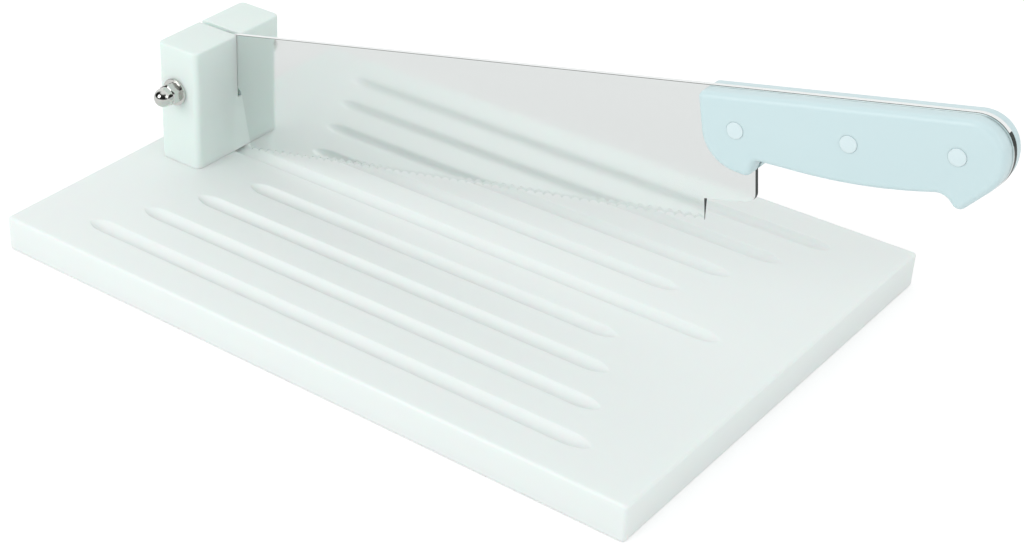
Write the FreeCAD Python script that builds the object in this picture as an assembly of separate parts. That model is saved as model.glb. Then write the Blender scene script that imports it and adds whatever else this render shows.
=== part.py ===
"""Bread board with a lever knife: a grooved plastic board, a slotted post and a bread knife hinged in it.

The origin is the middle of the board's underside. +X runs along the board towards the knife's handle,
+Y away from the user and +Z up. All sizes are millimetres. The knife is drawn lying level in its own
frame, with the hinge axis at the origin, and is then turned up about that axis to the angle it rests at.
"""
import FreeCAD, Part
import math
import os

from FreeCAD import Vector

# Board: a thick white polyethylene slab with all its edges rounded.
board_length = 350.0
board_width = 250.0
board_thickness = 18.0
board_corner_radius = 4.5
board_edge_radius = 3.0

# Crumb grooves: cut with a round-nosed cutter that is lowered and lifted on a ramp. The outer ones and
# the one under the blade are the longest.
groove_pitch = 25.3
grooves_each_side = 4
groove_cutter_radius = 6.0
groove_depth = 2.2
groove_end_margin = 33.5
groove_end_step = 12.0
groove_ramp_length = 12.0
middle_groove_under_post = 13.0

# Post: a polyethylene block that stands on the board and carries the knife between its two cheeks.
post_length = 25.5
post_depth = 63.0
post_height = 63.3
post_side_margin = 14.1
post_corner_radius = 3.0
post_top_chamfer = 1.2

# Hinge: a bolt across the post, with a washer at each end and a domed nut in front.
pivot_from_post_side = 11.6
pivot_height = 39.6
bolt_diameter = 6.0
bolt_hole_clearance = 0.05
thread_clearance = 0.03
bolt_head_across_flats = 10.0
bolt_head_height = 4.0
washer_diameter = 14.0
washer_thickness = 1.6
nut_across_flats = 10.0
nut_collar_height = 5.0
nut_dome_radius = 4.75
nut_dome_centre_height = 7.25
nut_thread_depth = 8.0
bolt_end_gap = 0.4
head_chamfer_inset = 0.25
head_chamfer_angle = 30.0

# Knife: one steel plate from the hinge to the butt, with a plastic scale riveted on each side of its tang.
knife_rest_angle = 12.0
blade_thickness = 2.5
blade_slot_clearance = 0.3
spine_above_pivot = 20.4
tongue_below_pivot = 7.5
tongue_behind_pivot = 8.0
tongue_lower_corner_radius = 5.0
tongue_upper_corner_radius = 8.0
tongue_root_radius = 4.0
slot_floor_clearance = 0.4
nose_gap = 0.4
tooth_tip_clearance = 0.3
toothed_end_before_groove_end = 14.7
tooth_pitch = 4.9
tooth_depth = 1.3
bevel_height = 10.3
edge_thickness = 0.3
end_slant = 4.5
heel_rise = 1.3
heel_length = 26.3
heel_corner_radius = 4.5

# Handle. Shares of its length place the belly, measured from the butt, and the rivets, measured from
# the front.
scale_overlap = 20.8
handle_length = 129.7
scale_thickness = 7.0
scale_edge_chamfer = 2.0
scale_corner_radius = 3.2
scale_inset = 0.7
scale_front_radius = 18.0
scale_front_depth = 31.5
scale_heel_depth = 36.7
scale_heel_radius = 3.3
butt_top_radius = 13.8
butt_straight = 0.4
butt_lower_depth = 24.2
beak_from_butt = 20.5
beak_depth = 39.6
beak_radius = 3.2
beak_width = 5.0
beak_notch_depth = 32.0
beak_notch_radius = 6.5
belly_share = 0.455
belly_depth = 35.4
belly_curve_to_notch = 5.4
finger_corner_behind_heel = 4.5
finger_corner_depth = 29.0
finger_corner_radius = 3.5
heel_top_depth = 33.4
heel_top_radius = 1.5
rivet_diameter = 7.4
rivet_end_height = 0.4
rivet_depth = 16.0
rivet_shares = (0.1295, 0.5127, 0.8535)

# Screws that hold the post from below.
screw_diameter = 6.0
screw_head_diameter = 10.0
screw_head_height = 6.0
screw_head_below_board_face = 1.0
screw_head_side_gap = 0.5
screw_socket_across_flats = 5.0
screw_socket_depth = 3.0
screw_grip_in_post = 26.0
screw_tip_gap = 1.0
screw_from_post_face = 11.0

# Sizes that follow from the ones above.
post_left = -board_length / 2 + post_side_margin
post_right = post_left + post_length
post_top = board_thickness + post_height
pivot_x = post_left + pivot_from_post_side
pivot_z = board_thickness + pivot_height
slot_width = blade_thickness + 2 * blade_slot_clearance
root_inside_post = max(tongue_root_radius - nose_gap, 0)
root_drop = tongue_root_radius - math.sqrt(tongue_root_radius ** 2 - root_inside_post ** 2)
tongue_reach = max(tongue_below_pivot + root_drop, tongue_behind_pivot)
slot_floor = pivot_z - tongue_reach - slot_floor_clearance
bolt_hole_radius = bolt_diameter / 2 + bolt_hole_clearance
edge_below_pivot = pivot_height + groove_depth - tooth_tip_clearance
nose = post_right - pivot_x + nose_gap
toothed_end = board_length / 2 - groove_end_margin - toothed_end_before_groove_end - pivot_x
bevel_top = bevel_height - edge_below_pivot
slant = math.tan(math.radians(end_slant))
bevel_end = toothed_end + slant * bevel_height
heel = toothed_end + heel_length
heel_top = spine_above_pivot - heel_top_depth
heel_bottom = bevel_top + heel_rise
scale_front = heel - scale_overlap
butt = scale_front + handle_length
butt_curve_reach = butt_lower_depth - butt_top_radius - butt_straight - scale_inset
butt_slope = math.atan2(beak_depth - butt_lower_depth, beak_from_butt - scale_inset)
butt_lower_radius = butt_curve_reach * math.tan(math.pi / 4 + butt_slope / 2)
beak_notch_from_butt = beak_from_butt + beak_width
belly_from_butt = belly_share * handle_length
belly_to_notch = belly_from_butt - beak_notch_from_butt
belly_to_finger_corner = butt - belly_from_butt - heel - finger_corner_behind_heel
belly_rise = math.atan2(belly_depth - beak_notch_depth, belly_to_notch)
belly_fall = math.atan2(belly_depth - finger_corner_depth, belly_to_finger_corner)
belly_curve_reach = belly_to_notch - belly_curve_to_notch
belly_radius = belly_curve_reach / math.tan((belly_rise + belly_fall) / 2)
washer_face = post_depth / 2 + washer_thickness
screw_hole_radius = screw_diameter / 2 + thread_clearance
screw_recess_radius = screw_head_diameter / 2 + screw_head_side_gap
screw_recess_depth = screw_head_height + screw_head_below_board_face
rivet_hole_radius = rivet_diameter / 2 + thread_clearance


def at(along, up, across=0.0):
    """A point of the level knife, measured from the hinge axis."""
    return Vector(along, across, up)


def bar_along_y(radius, near, far, x=0.0, z=0.0):
    """A round bar that runs along Y between two distances."""
    return Part.makeCylinder(radius, far - near, Vector(x, near, z), Vector(0, 1, 0))


def corner_arc(before, corner, after, radius):
    """The arc that rounds a corner, tangent to the lines on both sides of it."""
    to_before = (before - corner).normalize()
    to_after = (after - corner).normalize()
    half_angle = to_before.getAngle(to_after) / 2
    run = radius / math.tan(half_angle)
    to_centre = (to_before + to_after).normalize()
    middle = corner + to_centre * (radius / math.sin(half_angle) - radius)
    return Part.Arc(corner + to_before * run, middle, corner + to_after * run)


def rounded_chain(corners):
    """Lines through the corners (along, up, radius), each inner corner rounded by its own radius."""
    points = [at(along, up) for along, up, radius in corners]
    edges = []
    here = points[0]
    for i in range(1, len(points) - 1):
        radius = corners[i][2]
        if radius == 0:
            edges.append(Part.LineSegment(here, points[i]).toShape())
            here = points[i]
            continue
        arc = corner_arc(points[i - 1], points[i], points[i + 1], radius)
        edges.append(Part.LineSegment(here, arc.StartPoint).toShape())
        edges.append(arc.toShape())
        here = arc.EndPoint
    edges.append(Part.LineSegment(here, points[-1]).toShape())
    return edges


def plate(edges, near, far):
    """A flat plate with this outline, between two distances along Y."""
    face = Part.Face(Part.Wire(Part.__sortEdges__(edges)))
    face.translate(Vector(0, near, 0))
    return face.extrude(Vector(0, far - near, 0)).removeSplitter()


def rim_at(shape, y):
    """The edges of a shape that lie wholly in one plane across Y."""
    return [e for e in shape.Edges if abs(e.BoundBox.YMin - y) < 0.01 and abs(e.BoundBox.YMax - y) < 0.01]


def upright_edges(shape):
    """The edges of a box that run along Z."""
    return [e for e in shape.Edges if abs(e.tangentAt(e.FirstParameter).z) > 0.9]


def raise_knife(shape):
    """Turns a piece of the level knife up to its rest angle and puts it on the hinge."""
    shape.rotate(Vector(0, 0, 0), Vector(0, 1, 0), -knife_rest_angle)
    shape.translate(Vector(pivot_x, 0, pivot_z))
    return shape


def groove_ends(row):
    """Where a groove starts and ends: the rows beside the middle one are the shortest."""
    if row == 0:
        return post_right - middle_groove_under_post, board_length / 2 - groove_end_margin
    end = board_length / 2 - groove_end_margin - groove_end_step * (grooves_each_side - abs(row))
    return -end, end


def groove_cut(row):
    """What the cutter takes out along one groove: a round bar that narrows to the board's face at its ends."""
    centre_above_board = groove_cutter_radius - groove_depth
    start, end = groove_ends(row)
    left = Vector(start + groove_ramp_length, row * groove_pitch, board_thickness + centre_above_board)
    right = Vector(end - groove_ramp_length, left.y, left.z)
    along = Vector(1, 0, 0)
    bar = Part.makeCylinder(groove_cutter_radius, right.x - left.x, left, along)
    left_ramp = Part.makeCone(groove_cutter_radius, centre_above_board, groove_ramp_length, left, -along)
    right_ramp = Part.makeCone(groove_cutter_radius, centre_above_board, groove_ramp_length, right, along)
    return bar.fuse([left_ramp, right_ramp])


def screw_places():
    """The two post screws, one under each cheek."""
    x = (post_left + post_right) / 2
    y = post_depth / 2 - screw_from_post_face
    return [(x, -y), (x, y)]


def make_board():
    """The slab with rounded edges, its grooves and the stepped holes for the post screws."""
    corner = Vector(-board_length / 2, -board_width / 2, 0)
    slab = Part.makeBox(board_length, board_width, board_thickness, corner)
    slab = slab.makeFillet(board_corner_radius, upright_edges(slab))
    rims = [e for e in slab.Edges if e.BoundBox.ZLength < 0.01]
    slab = slab.makeFillet(board_edge_radius, rims)
    rows = range(-grooves_each_side, grooves_each_side + 1)
    slab = slab.cut([groove_cut(row) for row in rows])
    for x, y in screw_places():
        shank_hole = Part.makeCylinder(screw_hole_radius, board_thickness, Vector(x, y, 0))
        recess = Part.makeCylinder(screw_recess_radius, screw_recess_depth, Vector(x, y, 0))
        slab = slab.cut([shank_hole, recess])
    return slab


def make_post():
    """The block, the saw slot that makes its two cheeks, the bolt hole and the screw holes."""
    corner = Vector(post_left, -post_depth / 2, board_thickness)
    block = Part.makeBox(post_length, post_depth, post_height, corner)
    block = block.makeFillet(post_corner_radius, upright_edges(block))
    rim = [e for e in block.Edges if e.BoundBox.ZMin > post_top - 0.01]
    block = block.makeChamfer(post_top_chamfer, rim)
    slot_corner = Vector(post_left, -slot_width / 2, slot_floor)
    block = block.cut(Part.makeBox(post_length, slot_width, post_top - slot_floor, slot_corner))
    block = block.cut(bar_along_y(bolt_hole_radius, -post_depth / 2, post_depth / 2, pivot_x, pivot_z))
    hole_depth = screw_grip_in_post + screw_tip_gap
    for x, y in screw_places():
        block = block.cut(Part.makeCylinder(screw_hole_radius, hole_depth, Vector(x, y, board_thickness)))
    return block


def make_screws():
    """Two socket-head screws, up through the board and into the post."""
    shank_length = board_thickness - screw_recess_depth + screw_grip_in_post
    screws = []
    for x, y in screw_places():
        head = Part.makeCylinder(screw_head_diameter / 2, screw_head_height)
        head = head.cut(hexagon(screw_socket_across_flats, screw_socket_depth))
        shank = Part.makeCylinder(screw_diameter / 2, shank_length, Vector(0, 0, screw_head_height))
        screw = head.fuse(shank).removeSplitter()
        screw.translate(Vector(x, y, screw_recess_depth - screw_head_height))
        screws.append(screw)
    return Part.makeCompound(screws)


def hexagon(across_flats, height):
    """A hexagonal prism along Z with a corner on the Y axis."""
    corner_radius = across_flats / math.sqrt(3)
    turns = [math.radians(60 * i) for i in range(7)]
    corners = [Vector(corner_radius * math.sin(turn), corner_radius * math.cos(turn), 0) for turn in turns]
    return Part.Face(Part.makePolygon(corners)).extrude(Vector(0, 0, height))


def chamfered_hexagon(across_flats, height):
    """A hexagonal head whose outer corners are turned off by a shallow cone."""
    corner_radius = across_flats / math.sqrt(3)
    top_radius = across_flats / 2 - head_chamfer_inset
    drop = (corner_radius - top_radius) * math.tan(math.radians(head_chamfer_angle))
    barrel = Part.makeCylinder(corner_radius, height - drop)
    cone = Part.makeCone(corner_radius, top_radius, drop, Vector(0, 0, height - drop))
    return hexagon(across_flats, height).common(barrel.fuse(cone))


def make_bolt():
    """The hinge bolt: a hexagonal head behind the post and a plain shank through to the domed nut."""
    shank_length = 2 * washer_face + nut_thread_depth - bolt_end_gap
    head = chamfered_hexagon(bolt_head_across_flats, bolt_head_height)
    shank = Part.makeCylinder(bolt_diameter / 2, shank_length, Vector(0, 0, -shank_length))
    bolt = head.fuse(shank).removeSplitter()
    bolt.rotate(Vector(0, 0, 0), Vector(1, 0, 0), -90)
    bolt.translate(Vector(pivot_x, washer_face, pivot_z))
    return bolt


def make_washers():
    """Two plain washers, one against each cheek."""
    washers = []
    for near in (-washer_face, post_depth / 2):
        far = near + washer_thickness
        disc = bar_along_y(washer_diameter / 2, near, far, pivot_x, pivot_z)
        washers.append(disc.cut(bar_along_y(bolt_hole_radius, near, far, pivot_x, pivot_z)))
    return Part.makeCompound(washers)


def make_nut():
    """The domed nut: a hexagonal collar that runs into a ball, with a blind thread inside."""
    collar = chamfered_hexagon(nut_across_flats, nut_collar_height)
    neck = Part.makeCylinder(nut_dome_radius, nut_dome_centre_height)
    dome = Part.makeSphere(nut_dome_radius, Vector(0, 0, nut_dome_centre_height), Vector(0, 0, 1), 0, 90, 360)
    nut = collar.fuse([neck, dome]).removeSplitter()
    nut = nut.cut(Part.makeCylinder(bolt_diameter / 2 + thread_clearance, nut_thread_depth))
    nut.rotate(Vector(0, 0, 0), Vector(1, 0, 0), 90)
    nut.translate(Vector(pivot_x, -washer_face, pivot_z))
    return nut


def handle_corners(inset):
    """The handle's outline from the top of the butt, round the beak, to the corner for the finger."""
    end = butt - inset
    return [
        (end, spine_above_pivot - inset, butt_top_radius),
        (end, spine_above_pivot - butt_lower_depth, butt_lower_radius),
        (butt - beak_from_butt, spine_above_pivot - beak_depth, beak_radius),
        (butt - beak_notch_from_butt, spine_above_pivot - beak_notch_depth, beak_notch_radius),
        (butt - belly_from_butt, spine_above_pivot - belly_depth, belly_radius),
        (heel + finger_corner_behind_heel, spine_above_pivot - finger_corner_depth, finger_corner_radius),
    ]


def rivet_places():
    """The three rivets, in a row along the handle."""
    up = spine_above_pivot - rivet_depth
    return [(scale_front + share * handle_length, up) for share in rivet_shares]


def drill_rivet_holes(shape):
    """Takes the three rivet holes out of the tang or a scale."""
    reach = blade_thickness + scale_thickness
    holes = [bar_along_y(rivet_hole_radius, -reach, reach, along, up) for along, up in rivet_places()]
    return shape.cut(holes)


def tooth_edges():
    """The toothed edge: a row of plain V cuts, so that the teeth meet the board in points."""
    toothed_length = toothed_end - nose
    count = round(toothed_length / tooth_pitch)
    pitch = toothed_length / count
    edges = []
    for i in range(count):
        start = at(nose + i * pitch, -edge_below_pivot)
        top = at(nose + (i + 0.5) * pitch, tooth_depth - edge_below_pivot)
        end = at(nose + (i + 1) * pitch, -edge_below_pivot)
        edges.append(Part.LineSegment(start, top).toShape())
        edges.append(Part.LineSegment(top, end).toShape())
    return edges


def bevel_cut(side):
    """What the grindstone takes off one side of the toothed edge: a wedge, widest at the teeth."""
    flat = side * blade_thickness / 2
    edge = side * edge_thickness / 2
    outside = side * blade_thickness
    low = -edge_below_pivot
    corners = [at(nose, bevel_top, flat), at(nose, low, edge), at(nose, low, outside), at(nose, bevel_top, flat)]
    return Part.Face(Part.makePolygon(corners)).extrude(Vector(bevel_end - nose, 0, 0))


def make_blade():
    """The steel plate: tongue in the slot, toothed blade, heel and the full tang, ground on both sides."""
    corners = [
        (nose, -edge_below_pivot, 0),
        (nose, -tongue_below_pivot, tongue_root_radius),
        (-tongue_behind_pivot, -tongue_below_pivot, tongue_lower_corner_radius),
        (-tongue_behind_pivot, spine_above_pivot, tongue_upper_corner_radius),
    ]
    corners += handle_corners(0)
    corners += [
        (heel, heel_top, heel_top_radius),
        (heel - slant * (heel_top - heel_bottom), heel_bottom, heel_corner_radius),
        (bevel_end, bevel_top, 0),
        (toothed_end, -edge_below_pivot, 0),
    ]
    blade = plate(rounded_chain(corners) + tooth_edges(), -blade_thickness / 2, blade_thickness / 2)
    blade = blade.cut([bevel_cut(-1), bevel_cut(1)])
    blade = blade.cut(bar_along_y(bolt_hole_radius, -blade_thickness, blade_thickness))
    return raise_knife(drill_rivet_holes(blade))


def make_scale(side):
    """One scale: the handle's outline as a thick plate with its outer edge bevelled."""
    chain_end = (scale_front + handle_length / 2, spine_above_pivot - scale_inset, 0)
    corners = [chain_end]
    corners += handle_corners(scale_inset)
    corners += [
        (heel, spine_above_pivot - scale_heel_depth, scale_heel_radius),
        (scale_front, spine_above_pivot - scale_front_depth, scale_front_radius),
        (scale_front, spine_above_pivot - scale_inset, scale_corner_radius),
        chain_end,
    ]
    inner = side * blade_thickness / 2
    outer = inner + side * scale_thickness
    scale = plate(rounded_chain(corners), inner, outer)
    scale = scale.makeChamfer(scale_edge_chamfer, rim_at(scale, outer))
    return raise_knife(drill_rivet_holes(scale))


def make_rivets():
    """Three plastic rivets: round bars whose flat ends stand just proud of the scales."""
    half_length = blade_thickness / 2 + scale_thickness + rivet_end_height
    rivets = [bar_along_y(rivet_diameter / 2, -half_length, half_length, *place) for place in rivet_places()]
    return raise_knife(Part.makeCompound(rivets))


def main():
    """Builds every piece and writes one STEP file for each."""
    pieces = {
        "board": make_board(),
        "post": make_post(),
        "post_screws": make_screws(),
        "pivot_bolt": make_bolt(),
        "pivot_washers": make_washers(),
        "domed_nut": make_nut(),
        "blade": make_blade(),
        "front_scale": make_scale(-1),
        "rear_scale": make_scale(1),
        "handle_rivets": make_rivets(),
    }
    os.makedirs("parts", exist_ok=True)
    for name, shape in pieces.items():
        shape.exportStep("parts/" + name + ".step")
        print(name, "solids", len(shape.Solids), "valid", shape.isValid(), "volume", round(shape.Volume, 1))


main()
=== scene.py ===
"""Looks of a plastic bread board with a lever knife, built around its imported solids.

Everything is in the frame of the solids: the origin is the middle of the board's underside, +X runs
along the board towards the knife's handle, +Y away from the user and +Z up. Points are computed in
millimetres and scaled to metres when a mesh is made.
"""
import math

import bmesh
import bpy
import numpy as np
from mathutils import Matrix, Vector


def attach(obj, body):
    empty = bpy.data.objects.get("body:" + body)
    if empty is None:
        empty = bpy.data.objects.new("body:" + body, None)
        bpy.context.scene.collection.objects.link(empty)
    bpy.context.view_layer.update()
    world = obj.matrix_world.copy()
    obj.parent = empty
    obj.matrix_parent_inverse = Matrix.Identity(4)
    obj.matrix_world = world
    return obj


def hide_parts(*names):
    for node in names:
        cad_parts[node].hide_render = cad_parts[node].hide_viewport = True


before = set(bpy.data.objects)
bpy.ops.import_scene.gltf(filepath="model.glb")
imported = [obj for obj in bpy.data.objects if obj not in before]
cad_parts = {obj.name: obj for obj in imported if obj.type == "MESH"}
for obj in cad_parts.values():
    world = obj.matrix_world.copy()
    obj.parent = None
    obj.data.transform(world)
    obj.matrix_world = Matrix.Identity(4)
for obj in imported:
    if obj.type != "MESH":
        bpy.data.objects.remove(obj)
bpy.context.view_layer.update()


# Board: a thick slab of white polyethylene sheet, its edges rounded with a router and nine grooves cut
# into its top with a ball-nosed cutter. The post is screwed to it from below.
def linear(hex_colour):
    """The linear colour of an sRGB hex value, with full opacity."""
    parts = [int(hex_colour[i:i + 2], 16) / 255 for i in (1, 3, 5)]
    return [v / 12.92 if v <= 0.04045 else ((v + 0.055) / 1.055) ** 2.4 for v in parts] + [1.0]


def add(tree, kind, inputs=None, **settings):
    """Adds a node, sets its settings, and links or fills its inputs."""
    made = tree.nodes.new(kind)
    for name, value in settings.items():
        setattr(made, name, value)
    for name, value in (inputs or {}).items():
        if isinstance(value, bpy.types.NodeSocket):
            tree.links.new(value, made.inputs[name])
        else:
            made.inputs[name].default_value = value
    return made


def new_material(name):
    """An empty material, its node tree and its output node."""
    material = bpy.data.materials.new(name)
    material.use_nodes = True
    material.node_tree.nodes.clear()
    tree = material.node_tree
    return material, tree, tree.nodes.new("ShaderNodeOutputMaterial")


def quads(rows, columns, start=0, closed=True):
    """The four-sided faces of a grid of points numbered row by row, each row closed into a ring or not."""
    across = np.arange(columns if closed else columns - 1)
    first = start + columns * np.arange(rows - 1)[:, None]
    here, there = first + across, first + (across + 1) % columns
    return np.stack([here, there, there + columns, here + columns], axis=-1).reshape(-1, 4).tolist()


def shell(rows, columns, start=0):
    """The faces of a closed form made of rings of points: quads between rings and a face over each end."""
    first = list(range(start, start + columns))
    last = list(range(start + (rows - 1) * columns, start + rows * columns))
    return quads(rows, columns, start) + [first[::-1], last]


def quarter(radius, steps=6):
    """Insets r(1 - sin t) and drops r(1 - cos t) of a quarter-round edge, from its flat to its side."""
    turn = np.linspace(0, np.pi / 2, steps + 1)
    return radius * (1 - np.sin(turn)), radius * (1 - np.cos(turn))


def rings(outline, outward, insets, heights):
    """Rings of points: the outline p moved to p - inset n at each height, n being its outward normals."""
    flat = outline - np.multiply.outer(insets, outward)
    high = np.broadcast_to(np.asarray(heights)[:, None, None], flat[..., :1].shape)
    return np.concatenate([flat, high], axis=2)


def piece(name, points, faces, materials, kinds=None, crease=35.0):
    """A smooth mesh of these points (mm) and faces, its double points joined and its normals outward."""
    mesh = bpy.data.meshes.new(name)
    mesh.from_pydata((np.reshape(points, (-1, 3)) * 0.001).tolist(), [], faces)
    for material in materials:
        mesh.materials.append(material)
    if kinds is not None:
        mesh.polygons.foreach_set("material_index", kinds)
    made = bpy.data.objects.new(name, mesh)
    bpy.context.scene.collection.objects.link(made)
    shape = bmesh.new()
    shape.from_mesh(mesh)
    bmesh.ops.remove_doubles(shape, verts=shape.verts, dist=2e-6)
    bmesh.ops.delete(shape, geom=[v for v in shape.verts if not v.link_faces], context="VERTS")
    bmesh.ops.recalc_face_normals(shape, faces=shape.faces)
    shape.to_mesh(mesh)
    shape.free()
    finish_edges(made, crease)
    return made


def finish_edges(made, crease=35.0):
    """Smooth shading, broken where faces meet at more than the crease angle."""
    made.data.shade_smooth()
    made.data.set_sharp_from_angle(angle=math.radians(crease))


def cut(made, cutter, crease=35.0):
    """Takes the form of a cutter out of a piece, and removes the cutter."""
    step = made.modifiers.new("cut", "BOOLEAN")
    step.operation, step.solver, step.object = "DIFFERENCE", "EXACT", cutter
    bpy.context.view_layer.update()
    ready = made.evaluated_get(bpy.context.evaluated_depsgraph_get())
    mesh = bpy.data.meshes.new_from_object(ready)
    made.modifiers.clear()
    made.data = mesh
    bpy.data.objects.remove(cutter)
    finish_edges(made, crease)


round_steps = 64


def turned(radii, heights, count=round_steps):
    """Rings of a turned form about Z: (r cos t, r sin t, z) for each radius, which may vary with t."""
    turn = np.arange(count) * 2 * np.pi / count
    radius = np.stack([np.broadcast_to(r, count) for r in radii])
    height = np.stack([np.broadcast_to(z, count) for z in heights])
    return np.stack([radius * np.cos(turn), radius * np.sin(turn), height], axis=-1)


# Polyethylene is milky: light goes some millimetres in, so that edges glow and shadows are soft. The
# planed sheet has a satin face with a fine orange peel. Its dimples are drawn 3 mm wide, 330 to the
# metre, so that they show at all. The post's copy of it is painted a little greener and darker, as
# painted shade for its faces that lie in shadow.
polyethylenes = []
for name, colour in (("polyethylene_sheet_planed", "#EAF1EF"), ("polyethylene_block_painted_shade", "#E3EFEB")):
    polyethylene, tree, out = new_material(name)
    place = add(tree, "ShaderNodeTexCoord").outputs["Object"]
    peel = add(tree, "ShaderNodeTexNoise", {"Vector": place, "Scale": 330.0, "Detail": 3.0, "Roughness": 0.6})
    bump = add(tree, "ShaderNodeBump", {"Height": peel.outputs["Fac"], "Strength": 0.06, "Distance": 0.0003})
    plastic = add(tree, "ShaderNodeBsdfPrincipled", {
        "Base Color": linear(colour), "Roughness": 0.42, "IOR": 1.54, "Normal": bump.outputs["Normal"],
        "Subsurface Weight": 0.4, "Subsurface Radius": (0.7, 1.2, 1.0), "Subsurface Scale": 0.003,
    })
    tree.links.new(plastic.outputs["BSDF"], out.inputs["Surface"])
    polyethylenes.append(polyethylene)

# Nine grooves, spaced evenly across the board. The outermost are the longest, and each one further in
# is shorter at both ends, but for the middle one under the blade, which starts beneath the post.
board_size = np.array([350.0, 250.0])
board_top, corner_radius, rim_radius = 18.0, 1.8, 1.5
groove_rows, middle_row, groove_spacing = np.arange(-4, 5), 4, 25.3
grooves_middle, longest_end, end_step, middle_start = 0.5, 142.5, 12.0, -148.4
groove_lines = groove_spacing * groove_rows
groove_ends = longest_end - end_step * (groove_rows[-1] - abs(groove_rows))
groove_ends[middle_row] = longest_end
groove_starts = 2 * grooves_middle - groove_ends
groove_starts[middle_row] = middle_start

# The board's top is a grid. Its lines across the board are close together over the last 12 mm of each
# groove and at the rims.
flat_half = board_size / 2 - corner_radius
from_end = np.array([0.0, 0.1, 0.4, 1.0, 2.0, 3.5, 5.0, 7.0, 9.5, 12.0])
corner_steps = np.linspace(0, corner_radius - rim_radius, 4)
end_lines = np.concatenate([end - from_end for end in groove_ends[middle_row:]])
margin_lines = np.append([147.0, 155.0, 163.0, 170.0], flat_half[0] + corner_steps)
lines_x = np.concatenate([
    end_lines, 2 * grooves_middle - end_lines, middle_start + from_end,
    np.linspace(-82, 82, 15), margin_lines, -margin_lines,
])
lines_x = np.unique(np.round(lines_x, 2))

# A ball-nosed cutter of radius R whose centre is c above the board's face leaves a groove
# 2 sqrt(R^2 - c^2) wide. Over the ramp at each end c grows until the cutter has left the board, and then
# on to a limit, where the grid keeps a least width.
cutter_radius, groove_depth, groove_ramp, lift_limit, least_half_width = 6.0, 2.2, 8.0, -0.5, 0.5
inside = np.minimum(lines_x[:, None] - groove_starts, groove_ends - lines_x[:, None])
lift = cutter_radius - groove_depth * np.clip(inside / groove_ramp, lift_limit, 1)
half_width = np.sqrt(np.maximum(cutter_radius ** 2 - lift ** 2, least_half_width ** 2))

# The grid's lines along the board follow the grooves: some at shares of a groove's half width, some
# beside its rims, and one halfway to the next groove.
shares_inside = np.array([0.0, 0.2, 0.4, 0.6, 0.75, 0.87, 0.95, 1.0])
beside_rim = np.array([0.12, 0.3, 0.7, 1.6])
one_side = np.concatenate([
    half_width[..., None] * shares_inside, half_width[..., None] + beside_rim,
    np.full(half_width.shape + (1,), groove_spacing / 2),
], axis=-1)
strips = np.concatenate([-one_side[..., -2:0:-1], one_side], axis=-1) + groove_lines[:, None]
margins = np.tile(np.append([117.0, 121.0], flat_half[1] + corner_steps), (len(lines_x), 1))
first_line = np.full((len(lines_x), 1), groove_lines[0] - groove_spacing / 2)
grid_y = np.concatenate([-margins[:, ::-1], first_line, strips.reshape(len(lines_x), -1), margins], axis=1)
grid_x = np.broadcast_to(lines_x[:, None], grid_y.shape)

# At the corners the grid's square rows are pulled onto circles: an offset d from the inner rectangle
# becomes d max|d| / |d|.
square = np.stack([grid_x, grid_y], axis=-1)
base = np.clip(square, -flat_half, flat_half)
offset = square - base
direction = offset / np.maximum(np.linalg.norm(offset, axis=-1, keepdims=True), 1e-9)
spread = base + direction * abs(offset).max(axis=-1, keepdims=True)

# The cutter's depth at y from a groove's line is a = sqrt(R^2 - y^2) - c. The groove's rims are eased:
# the depth taken is (a + sqrt(a^2 + k^2)) / 2.
rim_ease = 0.15
half_chord = np.sqrt(np.maximum(cutter_radius ** 2 - (grid_y[..., None] - groove_lines) ** 2, 0))
bite = half_chord - lift[:, None, :]
depth = ((bite + np.sqrt(bite ** 2 + rim_ease ** 2)) / 2).sum(axis=-1)
top_grid = np.concatenate([spread, (board_top - depth)[..., None]], axis=-1)


def border(grid):
    """The points round the border of a grid, in order."""
    return np.concatenate([grid[:-1, 0], grid[-1, :-1], grid[:0:-1, -1], grid[0, :0:-1]])


# The sides go down from the grid's border: a quarter round, the flat side and a quarter round below.
upper_inset, upper_drop = quarter(rim_radius, 8)
insets = np.concatenate([upper_inset, upper_inset[::-1]])
heights = np.concatenate([board_top - upper_drop, upper_drop[::-1]])
outline = border(base) + border(direction) * corner_radius
sides = rings(outline, border(direction), insets, heights)
rows, columns = top_grid.shape[:2]
start = rows * columns
ring_size = sides.shape[1]
bottom = list(range(start + (len(sides) - 1) * ring_size, start + len(sides) * ring_size))
points = np.concatenate([top_grid.reshape(-1, 3), sides.reshape(-1, 3)])
faces = quads(rows, columns, closed=False) + quads(len(sides), ring_size, start) + [bottom]
board = piece("board_slab", points, faces, polyethylenes[:1])

# The stepped holes for the post screws, with recesses for their heads. Each cutter reaches past both
# faces of the board.
screw_x, screw_y, screw_hole = -148.15, 20.5, 3.03
recess_radius, recess_depth = 5.5, 7.0
screw_places = np.array([[screw_x, -screw_y, 0.0], [screw_x, screw_y, 0.0]])
stepped = turned(
    [recess_radius, recess_radius, screw_hole, screw_hole], [-1.0, recess_depth, recess_depth, board_top + 2])
points = np.concatenate([stepped.reshape(-1, 3) + spot for spot in screw_places])
faces = shell(4, round_steps) + shell(4, round_steps, 4 * round_steps)
cut(board, piece("screw_cutter", points, faces, polyethylenes[:1]))
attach(board, "base")
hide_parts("board")


# Post: a block of the same sheet plastic that stands on the board, sawn from the top into two cheeks. A
# bolt crosses it, and two screws come up into it through the board.
def unit(vectors):
    """The same directions with a length of 1."""
    return vectors / np.linalg.norm(vectors, axis=-1, keepdims=True)


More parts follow.
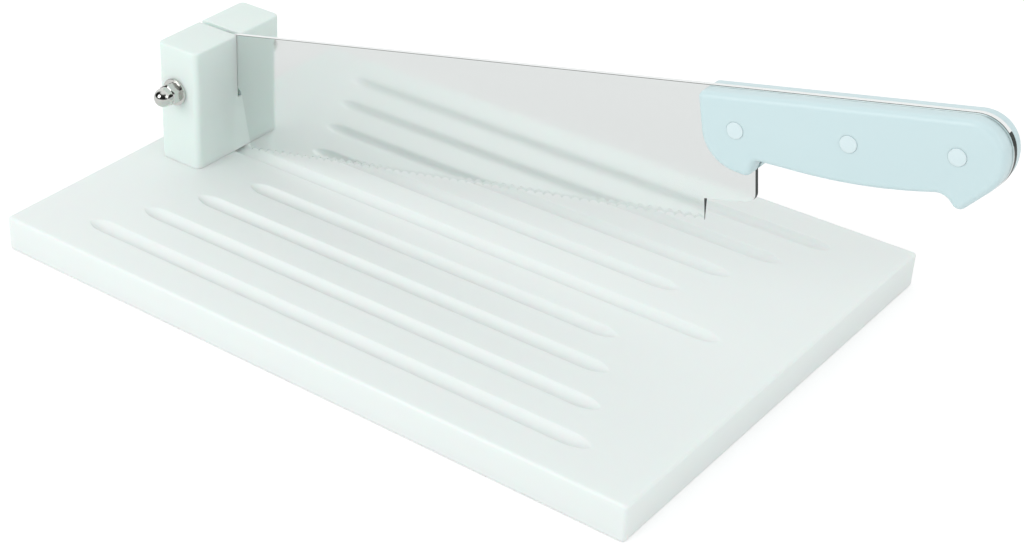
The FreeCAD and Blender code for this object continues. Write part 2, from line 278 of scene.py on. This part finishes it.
def rounded(corners, steps=8):
    """The closed outline through corners (a, b, radius), and its outward normals.

    A corner whose sides meet at the angle 2h gets an arc about the point r / sin(h) from it on its
    bisector. One without a radius stays a point, and its normal is 1 / sin(h) long, so that an inset
    outline stays parallel.
    """
    spots = np.array([corner[:2] for corner in corners])
    behind, ahead = np.roll(spots, 1, axis=0), np.roll(spots, -1, axis=0)
    before, after = unit(behind - spots), unit(ahead - spots)
    area = np.sum(behind[:, 0] * spots[:, 1] - behind[:, 1] * spots[:, 0])
    convex = np.sign(after[:, 0] * before[:, 1] - after[:, 1] * before[:, 0]) * np.sign(area)
    bisector = unit(before + after)
    half = np.arccos(np.sum(bisector * before, axis=1))
    outline, outward = [], []
    for i, (_, _, radius) in enumerate(corners):
        if radius == 0:
            outline.append(spots[i:i + 1])
            outward.append(-convex[i] * bisector[i:i + 1] / math.sin(half[i]))
            continue
        centre = spots[i] + bisector[i] * radius / math.sin(half[i])
        reach = radius / math.tan(half[i])
        begin = (spots[i] + before[i] * reach - centre) / radius
        end = (spots[i] + after[i] * reach - centre) / radius
        sweep = math.atan2(begin[0] * end[1] - begin[1] * end[0], begin @ end)
        turn = math.atan2(begin[1], begin[0]) + sweep * np.linspace(0, 1, steps + 1)
        spoke = np.stack([np.cos(turn), np.sin(turn)], axis=1)
        outline.append(centre + radius * spoke)
        outward.append(convex[i] * spoke)
    return np.concatenate(outline), np.concatenate(outward)


post_x, post_y, post_top = (-160.9, -135.4), 31.5, 81.3
post_corner, post_rim = 3.2, 0.9
outline, outward = rounded([(x, y, post_corner) for x, y in (
    (post_x[0], -post_y), (post_x[1], -post_y), (post_x[1], post_y), (post_x[0], post_y))])
insets, drops = quarter(post_rim)
points = rings(outline, outward, np.append(insets, 0), np.append(post_top - drops, board_top))
post = piece("post_block", points, shell(*points.shape[:2]), polyethylenes[1:])

# The saw slot, its top edges eased with a small radius. Its cutter reaches past the post's top and sides.
slot_half, slot_ease, slot_floor = 1.35, 0.15, 47.44
insets, drops = quarter(slot_ease, 4)
wall = np.stack([
    np.concatenate([[slot_half], slot_half + insets[::-1], [slot_half + slot_ease]]),
    np.concatenate([[slot_floor], post_top - drops[::-1], [post_top + 2]]),
], axis=1)
profile = np.concatenate([wall, (wall * [-1, 1])[::-1]])
points = np.concatenate([np.insert(profile, 0, x, axis=1) for x in (post_x[0] - 1, post_x[1] + 1)])
cut(post, piece("slot_cutter", points, shell(2, len(profile)), polyethylenes[1:]))

hinge_x, hinge_z, bolt_hole = -149.3, 57.6, 3.05


def along_y(points):
    """A form turned about Z, laid down on the hinge axis so that its Z runs along +Y."""
    return np.stack([points[..., 0] + hinge_x, points[..., 2], hinge_z - points[..., 1]], axis=-1)


# The bolt hole right through, and the holes for the screws, which end inside the block.
screw_hole_top = 45.0
points = along_y(turned([bolt_hole, bolt_hole], [-40.0, 40.0]))
cut(post, piece("bolt_cutter", points, shell(2, round_steps), polyethylenes[1:]))
bore = turned([screw_hole, screw_hole], [board_top - 1, screw_hole_top])
points = np.concatenate([(bore + spot).reshape(-1, 3) for spot in screw_places])
faces = shell(2, round_steps) + shell(2, round_steps, 2 * round_steps)
cut(post, piece("screw_cutter", points, faces, polyethylenes[1:]))
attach(post, "base")
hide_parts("post")

# Hinge: an M6 bolt through the post, a plain washer at each end and a domed nut in front, all bright
# nickel plated, and the two socket-head screws under the board.

# Nickel plating is a slightly warm mirror. Patches of 1.1 mm, 900 to the metre, are a little duller.
plated, tree, out = new_material("nickel_plated_steel")
place = add(tree, "ShaderNodeTexCoord").outputs["Object"]
grain = add(tree, "ShaderNodeTexNoise", {"Vector": place, "Scale": 900.0, "Detail": 2.0})
sheen = add(tree, "ShaderNodeMapRange", {"Value": grain.outputs["Fac"], "To Min": 0.05, "To Max": 0.13})
metal = add(tree, "ShaderNodeBsdfPrincipled", {
    "Base Color": linear("#D4D5D1"), "Metallic": 1.0, "Roughness": sheen.outputs["Result"],
})
tree.links.new(metal.outputs["BSDF"], out.inputs["Surface"])

# The radius of a hexagon at the angle t is its half width across the flats over cos(t - the middle of
# its side), and its corners are turned off at a radius a little under the full one.
hex_steps, half_flats, turned_corner = 96, 5.0, 5.66
turn = np.arange(hex_steps) * 2 * np.pi / hex_steps
hexagon = half_flats / np.cos((turn + np.pi / 6) % (np.pi / 3) - np.pi / 6)
hexagon = np.minimum(hexagon, turned_corner)
dome_radius = 4.75


def hex_rings(height):
    """Radii and heights of a hexagonal collar whose corners are turned off by a cone of 30 degrees."""
    chamfer = height - (hexagon - dome_radius) * math.tan(math.radians(30))
    return [hexagon - 0.1, hexagon, hexagon, dome_radius], [0.0, 0.1, chamfer, height]


# The nut: a hexagonal collar, a neck and a dome, with a blind hole for the bolt.
washer_radius, washer_thick, washer_rim = 7.0, 1.6, 0.25
washer_face = post_y + washer_thick
nut_collar, neck_top, nut_hole_depth = 5.0, 7.25, 8.0
radii, heights = hex_rings(nut_collar)
dome_turn = np.radians(np.linspace(0, 86, 14))
radii = [screw_hole, screw_hole] + radii + list(dome_radius * np.cos(dome_turn))
heights = [nut_hole_depth, 0.0] + heights + list(neck_top + dome_radius * np.sin(dome_turn))
points = along_y(turned(radii, heights, hex_steps)) * [1, -1, 1] + [0, -washer_face, 0]
nut = piece("domed_nut_m6", points, shell(len(radii), hex_steps), [plated], crease=28.0)
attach(nut, "base")
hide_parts("domed_nut")

# The washers: a ring profile with rounded outer edges, carried round into a closed form.
insets, drops = quarter(washer_rim, 3)
radii = np.concatenate([[bolt_hole], washer_radius - insets, washer_radius - insets[::-1], [bolt_hole] * 2])
heights = np.concatenate([[0.0], drops, washer_thick - drops[::-1], [washer_thick, 0.0]])
disc = along_y(turned(radii, heights))
points = np.concatenate([disc.reshape(-1, 3) + [0, place_y, 0] for place_y in (-washer_face, post_y)])
near_faces = quads(len(radii), round_steps)
faces = near_faces + (np.array(near_faces) + len(radii) * round_steps).tolist()
washers = piece("hinge_washers", points, faces, [plated])
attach(washers, "base")
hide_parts("pivot_washers")

# The bolt: a shank with a rounded point, which reaches into the nut, and a hexagonal head at the rear.
bolt_radius, point_rim, head_height, reach_into_nut = 3.0, 0.5, 4.0, 7.6
shank = 2 * washer_face + reach_into_nut
radii, heights = hex_rings(head_height)
insets, drops = quarter(point_rim, 3)
radii = list(bolt_radius - insets) + [bolt_radius] + radii
heights = list(drops - shank) + [0.0] + heights
points = along_y(turned(radii, heights, hex_steps)) + [0, washer_face, 0]
bolt = piece("hinge_bolt", points, shell(len(radii), hex_steps), [plated], crease=28.0)
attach(bolt, "base")
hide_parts("pivot_bolt")

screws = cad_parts["post_screws"]
screws.data.materials.clear()
screws.data.materials.append(plated)

# Blade: one plate of rolled stainless steel, polished bright, its toothed edge ground from behind. The cut
# edges at the handle's end and the fine bevels of the spine are painted dark, as a painted dark
# reflection. It swings on the hinge bolt.

# The polished face is a clear mirror whose gloss varies along fine lines, 2500 to the metre, 0.4 mm apart.
steel, tree, out = new_material("stainless_blade_steel_polished")
place = add(tree, "ShaderNodeTexCoord").outputs["Object"]
stretch = add(tree, "ShaderNodeMapping", {"Vector": place, "Scale": (60.0, 60.0, 2500.0)})
lines = add(tree, "ShaderNodeTexNoise", {"Vector": stretch.outputs["Vector"], "Scale": 1.0, "Detail": 2.0})
gloss = add(tree, "ShaderNodeMapRange", {"Value": lines.outputs["Fac"], "To Min": 0.05, "To Max": 0.11})
metal = add(tree, "ShaderNodeBsdfPrincipled", {
    "Base Color": linear("#EEF1F0"), "Metallic": 1.0, "Roughness": gloss.outputs["Result"],
})
tree.links.new(metal.outputs["BSDF"], out.inputs["Surface"])

# The cut edges are left rough, with a grain of 0.7 mm, 1500 to the metre. Their dark colour, which the
# upturned bevels share, is a painted dark reflection.
painted_dark_steel, tree, out = new_material("stainless_steel_edges_painted_dark")
place = add(tree, "ShaderNodeTexCoord").outputs["Object"]
grain = add(tree, "ShaderNodeTexNoise", {"Vector": place, "Scale": 1500.0, "Detail": 2.0})
sheen = add(tree, "ShaderNodeMapRange", {"Value": grain.outputs["Fac"], "To Min": 0.25, "To Max": 0.4})
metal = add(tree, "ShaderNodeBsdfPrincipled", {
    "Base Color": linear("#3C4240"), "Metallic": 1.0, "Roughness": sheen.outputs["Result"],
})
tree.links.new(metal.outputs["BSDF"], out.inputs["Surface"])

rest_angle = math.radians(12.0)


def on_knife(points):
    """Points (u, w, y) of the level knife, turned up about the hinge axis to where the knife rests."""
    along, up, across = np.moveaxis(np.asarray(points), -1, 0)
    return np.stack([
        hinge_x + along * math.cos(rest_angle) - up * math.sin(rest_angle), across,
        hinge_z + along * math.sin(rest_angle) + up * math.cos(rest_angle)], axis=-1)


def handle_corners(inset):
    """The handle's corners (u, w, radius) from the top of the butt, round the beak, to the finger gap."""
    end, top = 411.27 - inset, 20.38 - inset
    return [(end, top, 13.8), (end, -3.8, 19.0), (390.8, -19.2, 3.2), (385.8, -11.6, 6.5),
            (352.3, -15.0, 232.0), (305.9, -8.5, 1.8)]


# The plate without its ground edge: an outline with a fine bevel all round but along the ground edge,
# which is its straight lower side from the nose to the toothed end. Lengths are those of the level knife,
# from the hinge axis: along it and up.
nose, toothed_end, edge_low, ground_height = 14.3, 276.1, -41.5, 10.3
tongue_end, tongue_low, spine = -8.0, -7.5, 20.4
heel_corners = [(302.4, -13.0, 1.5), (301.07, -29.9, 4.5)]
plate_half, plate_bevel = 1.25, 0.15
slant = math.tan(math.radians(4.5))
ground_end = toothed_end + slant * ground_height
ground_top = edge_low + ground_height
outline, outward = rounded([
    (nose, ground_top, 0), (nose, tongue_low, 4.0), (tongue_end, tongue_low, 5.0), (tongue_end, spine, 8.0),
    *handle_corners(0), *heel_corners, (ground_end, ground_top, 0)], 12)
free_edge = len(outline)

# The row of points over the teeth has several to a tooth, so that the ground edge can join it.
tooth_count, tooth_steps, tooth_depth = 54, 10, 1.3
share = np.linspace(0, 1, tooth_count * tooth_steps + 1)
over_teeth = nose + share[-2:0:-1] * (ground_end - nose)
over_teeth = np.stack([over_teeth, np.full(len(over_teeth), ground_top)], axis=1)
outline = np.concatenate([outline, over_teeth])
outward = np.concatenate([outward, np.zeros_like(over_teeth)])
outward[[0, free_edge - 1]] = 0
plate = rings(outline, outward, [plate_bevel, 0, 0, plate_bevel],
              [-plate_half, plate_bevel - plate_half, plate_half - plate_bevel, plate_half])
count = len(outline)
strips = np.reshape(quads(4, count), (3, count, 4))[:, :free_edge - 1].reshape(-1, 4).tolist()
faces = strips + [list(range(count))[::-1], list(range(3 * count, 4 * count))]

# Painted dark, as a painted dark reflection, are the bevels wherever the edge faces up, and the edge
# itself where it faces on or down at the handle's end. The two faces of the plate are bright.
handle_end = 250.0
facing_up = outward[1:free_edge, 1] > 0.4
painted_dark_edge_mask = (outline[1:free_edge, 0] > handle_end) & ~facing_up
kinds = np.concatenate([facing_up, painted_dark_edge_mask, facing_up, [0, 0]]).astype(int)

# The ground edge: the front stays flat, and the rear is ground down to a wedge, 0.3 mm thick at the tips of
# the teeth. Each tooth's gullet is an arc of radius R = (s^2 + d^2) / 2d over the half pitch s and the
# depth d. It is ground in from the front with a sloping facet that leaves a cutting edge of 0.12 mm.
wedge_thick, edge_thick, facet_slope = 0.3, 0.12, 0.45
half_pitch = (toothed_end - nose) / tooth_count / 2
gullet_radius = (half_pitch ** 2 + tooth_depth ** 2) / (2 * tooth_depth)
from_middle = (2 * ((share * tooth_count) % 1) - 1) * half_pitch
from_middle[-1] = half_pitch
gullet = np.sqrt(gullet_radius ** 2 - from_middle ** 2) - gullet_radius + tooth_depth
gullet = np.maximum(gullet, 0)
row_shares = np.array([1.0, 0.6, 0.35, 0.22, 0.15, 0.1, 0.06, 0.03, 0.0])[:, None]
above = gullet + row_shares * (ground_height - gullet)
along = nose + share * (toothed_end + slant * above - nose)
rear_face = wedge_thick - plate_half + (2 * plate_half - wedge_thick) * above / ground_height
facet = rear_face[-1] - edge_thick - facet_slope * (above - gullet)
front = np.stack([along, edge_low + above, np.maximum(facet, -plate_half)], axis=-1)
rear = np.stack([along, edge_low + above, rear_face], axis=-1)[::-1]
ground = np.concatenate([front, rear])
start = plate.size // 3
faces += quads(len(ground), len(share), start, closed=False)
kinds = np.append(kinds, np.zeros((len(ground) - 1) * (len(share) - 1), int))

# A face closes the ground edge at the nose and at the toothed end, up to the plate's two edge lines.
side = start + len(share) * np.arange(len(ground))
faces += [side.tolist() + [2 * count, count],
          (side + len(share) - 1).tolist() + [2 * count + free_edge - 1, count + free_edge - 1]]
# The two end faces of the ground edge are painted dark as well.
kinds = np.append(kinds, [1, 1])
points = on_knife(np.concatenate([plate.reshape(-1, 3), ground.reshape(-1, 3)]))
blade = piece("toothed_blade", points, faces, [steel, painted_dark_steel], kinds, crease=20.0)
points = along_y(turned([bolt_hole, bolt_hole], [-5.0, 5.0]))
cut(blade, piece("bolt_cutter", points, shell(2, round_steps), [painted_dark_steel]), crease=20.0)
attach(blade, "knife")
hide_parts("blade")

# Handle: a scale of moulded plastic on each side of the tang, milky with a blue cast, its outer edges
# well rounded, and three rivets of a slightly whiter plastic through all.

# Moulded plastic is glossy and lets light in a little way. Its skin has a faint grain of 1.4 mm, 700 to
# the metre.
mouldings = []
for name, colour in (("handle_plastic_moulded", "#CEE3E6"), ("rivet_plastic_moulded", "#DAEBEE")):
    moulded, tree, out = new_material(name)
    place = add(tree, "ShaderNodeTexCoord").outputs["Object"]
    grain = add(tree, "ShaderNodeTexNoise", {"Vector": place, "Scale": 700.0, "Detail": 2.0})
    bump = add(tree, "ShaderNodeBump", {"Height": grain.outputs["Fac"], "Strength": 0.05, "Distance": 0.0002})
    plastic = add(tree, "ShaderNodeBsdfPrincipled", {
        "Base Color": linear(colour), "Roughness": 0.3, "IOR": 1.48, "Normal": bump.outputs["Normal"],
        "Subsurface Weight": 0.3, "Subsurface Radius": (1.0, 1.0, 1.0), "Subsurface Scale": 0.002,
    })
    tree.links.new(plastic.outputs["BSDF"], out.inputs["Surface"])
    mouldings.append(moulded)

# A scale: the outline of the tang, a little inside it, closed by a rounded front end on the blade. Its
# outer edge is a large quarter round, and its inner edge, on the plate, has a bevel as fine as the plate's.
handle_start, handle_length = 281.6, 129.7
scale_front = [(302.4, -16.3, 3.3), (282.0, -11.1, 18.0), (282.0, 19.7, 2.8)]
tang_proud, scale_rim, scale_face = 0.7, 2.7, 8.25
rivet_hole, rivet_mouth, mouth_depth, rivet_up = 3.75, 3.95, 0.15, 4.4
rivet_places = [(handle_start + share * handle_length, rivet_up) for share in (0.1295, 0.5127, 0.8535)]
outline, outward = rounded(handle_corners(tang_proud) + scale_front, 12)
insets, drops = quarter(scale_rim, 8)
insets = np.append(insets, [0.0, plate_bevel])
heights = np.append(scale_face - drops, [plate_half + plate_bevel, plate_half])
for name, side in (("front_scale", -1), ("rear_scale", 1)):
    points = on_knife(rings(outline, outward, insets, side * heights))
    scale = piece(name + "_moulded", points, shell(*points.shape[:2]), mouldings[:1])
    hole = turned([rivet_hole, rivet_hole, rivet_mouth, rivet_mouth],
                  [0.0, scale_face - mouth_depth, scale_face, scale_face + 0.75])
    for along, up in rivet_places:
        points = on_knife(hole * [1, 1, side] + [along, up, 0])
        cut(scale, piece("rivet_cutter", points, shell(4, round_steps), mouldings[:1]))
    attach(scale, "knife")
    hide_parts(name)

# The rivets: pins with a rounded rim at both ends, whose faces are crowned by a tenth of a millimetre.
rivet_radius, rivet_rim, rivet_face = 3.7, 0.3, 8.55
insets, drops = quarter(rivet_rim, 4)
cap_radii = np.append([1.2, 2.4], rivet_radius - insets)
cap_heights = np.append([rivet_face + 0.1, rivet_face + 0.07], rivet_face - drops)
radii = np.append(cap_radii, cap_radii[::-1])
heights = np.append(cap_heights, -cap_heights[::-1])
pin = turned(radii, heights)
points = np.concatenate([on_knife(pin + [along, up, 0]).reshape(-1, 3) for along, up in rivet_places])
pin_size = len(radii) * round_steps
faces = sum((shell(len(radii), round_steps, i * pin_size) for i in range(len(rivet_places))), [])
rivets = piece("handle_rivets_moulded", points, faces, mouldings[1:])
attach(rivets, "knife")
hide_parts("handle_rivets")

# Studio: a white floor that runs out of sight, large soft lamps and the camera. To the camera the floor
# and the world are plain white, and the floor keeps the shadow of the board.

# In mirrors the floor is brightest near the board and dims further away, as a lit sweep of paper does.
white_floor, tree, out = new_material("white_studio_floor")
path = add(tree, "ShaderNodeLightPath")
place = add(tree, "ShaderNodeTexCoord").outputs["Object"]
away = add(tree, "ShaderNodeVectorMath", {0: place}, operation="LENGTH")
fade = add(tree, "ShaderNodeMapRange", {
    "Value": away.outputs["Value"], "From Min": 0.6, "From Max": 1.2, "To Min": 0.86, "To Max": 0.45})
tone = add(tree, "ShaderNodeMix", {
    "Factor": path.outputs["Is Glossy Ray"], "A": 0.82, "B": fade.outputs["Result"]})
diffuse = add(tree, "ShaderNodeBsdfDiffuse", {"Color": tone.outputs["Result"]})
glow = add(tree, "ShaderNodeMath", {0: path.outputs["Is Camera Ray"], 1: 0.31}, operation="MULTIPLY")
lit = add(tree, "ShaderNodeEmission", {"Color": (1, 1, 1, 1), "Strength": glow.outputs[0]})
both = add(tree, "ShaderNodeAddShader", {0: diffuse.outputs[0], 1: lit.outputs[0]})
tree.links.new(both.outputs[0], out.inputs["Surface"])

floor_mesh = bpy.data.meshes.new("floor")
floor_mesh.from_pydata([(-6, -6, 0), (6, -6, 0), (6, 6, 0), (-6, 6, 0)], [], [(0, 1, 2, 3)])
floor_mesh.materials.append(white_floor)
floor = bpy.data.objects.new("floor", floor_mesh)
bpy.context.scene.collection.objects.link(floor)

# The world lights the object evenly. Mirrors see a room instead: white behind the board and overhead,
# and dark on the user's side, which gives bright metal its black bands.
world = bpy.data.worlds.new("studio")
bpy.context.scene.world = world
world.use_nodes = True
tree = world.node_tree
tree.nodes.clear()
path = add(tree, "ShaderNodeLightPath")
heading = add(tree, "ShaderNodeSeparateXYZ", {"Vector": add(tree, "ShaderNodeTexCoord").outputs["Object"]})
walls = add(tree, "ShaderNodeMapRange", {
    "Value": heading.outputs["Y"], "From Min": -0.12, "From Max": 0.05, "To Min": 0.02, "To Max": 1.0})
ceiling = add(tree, "ShaderNodeMapRange", {"Value": heading.outputs["Z"], "From Min": 0.78, "From Max": 0.95})
room = add(tree, "ShaderNodeMath", {
    0: walls.outputs["Result"], 1: ceiling.outputs["Result"]}, operation="MAXIMUM")
mirrored = add(tree, "ShaderNodeMix", {
    "Factor": path.outputs["Is Glossy Ray"], "A": 0.83, "B": room.outputs[0]})
level = add(tree, "ShaderNodeMix", {
    "Factor": path.outputs["Is Camera Ray"], "A": mirrored.outputs["Result"], "B": 1.0})
back = add(tree, "ShaderNodeBackground", {"Color": (1, 1, 1, 1), "Strength": level.outputs["Result"]})
add(tree, "ShaderNodeOutputWorld", {"Surface": back.outputs[0]})


def lamp(name, place, target, size, watts):
    """A square softbox at a place, turned to face a target."""
    light = bpy.data.lights.new(name, "AREA")
    light.shape = "SQUARE"
    light.size, light.energy = size, watts
    made = bpy.data.objects.new(name, light)
    made.location = place
    made.rotation_euler = (Vector(target) - Vector(place)).to_track_quat("-Z", "Y").to_euler()
    bpy.context.scene.collection.objects.link(made)


over_board = (0, 0, 0.05)
lamp("front_left", (-0.6, -1.4, 0.8), over_board, 0.9, 8)
lamp("right", (1.5, -0.2, 0.9), over_board, 0.9, 3)

# The camera was fitted to the straight edges of the board, the post and the knife. The shift is that of
# the photograph's framing, which is cut from a wider picture.
view = bpy.data.cameras.new("camera")
view.sensor_width = 36
view.lens = 71.25
view.shift_x = 0.2246
view.clip_end = 20
camera = bpy.data.objects.new("camera", view)
azimuth, elevation, roll = math.radians(40.79), math.radians(31.64), math.radians(-0.4)
aim = Matrix.Rotation(azimuth, 3, "Z") @ Matrix.Rotation(math.pi / 2 - elevation, 3, "X")
camera.rotation_euler = (aim @ Matrix.Rotation(roll, 3, "Z")).to_euler()
camera.location = (0.4783, -0.6795, 0.5060)
bpy.context.scene.collection.objects.link(camera)
bpy.context.scene.camera = camera
bpy.context.scene.view_settings.view_transform = "Standard"
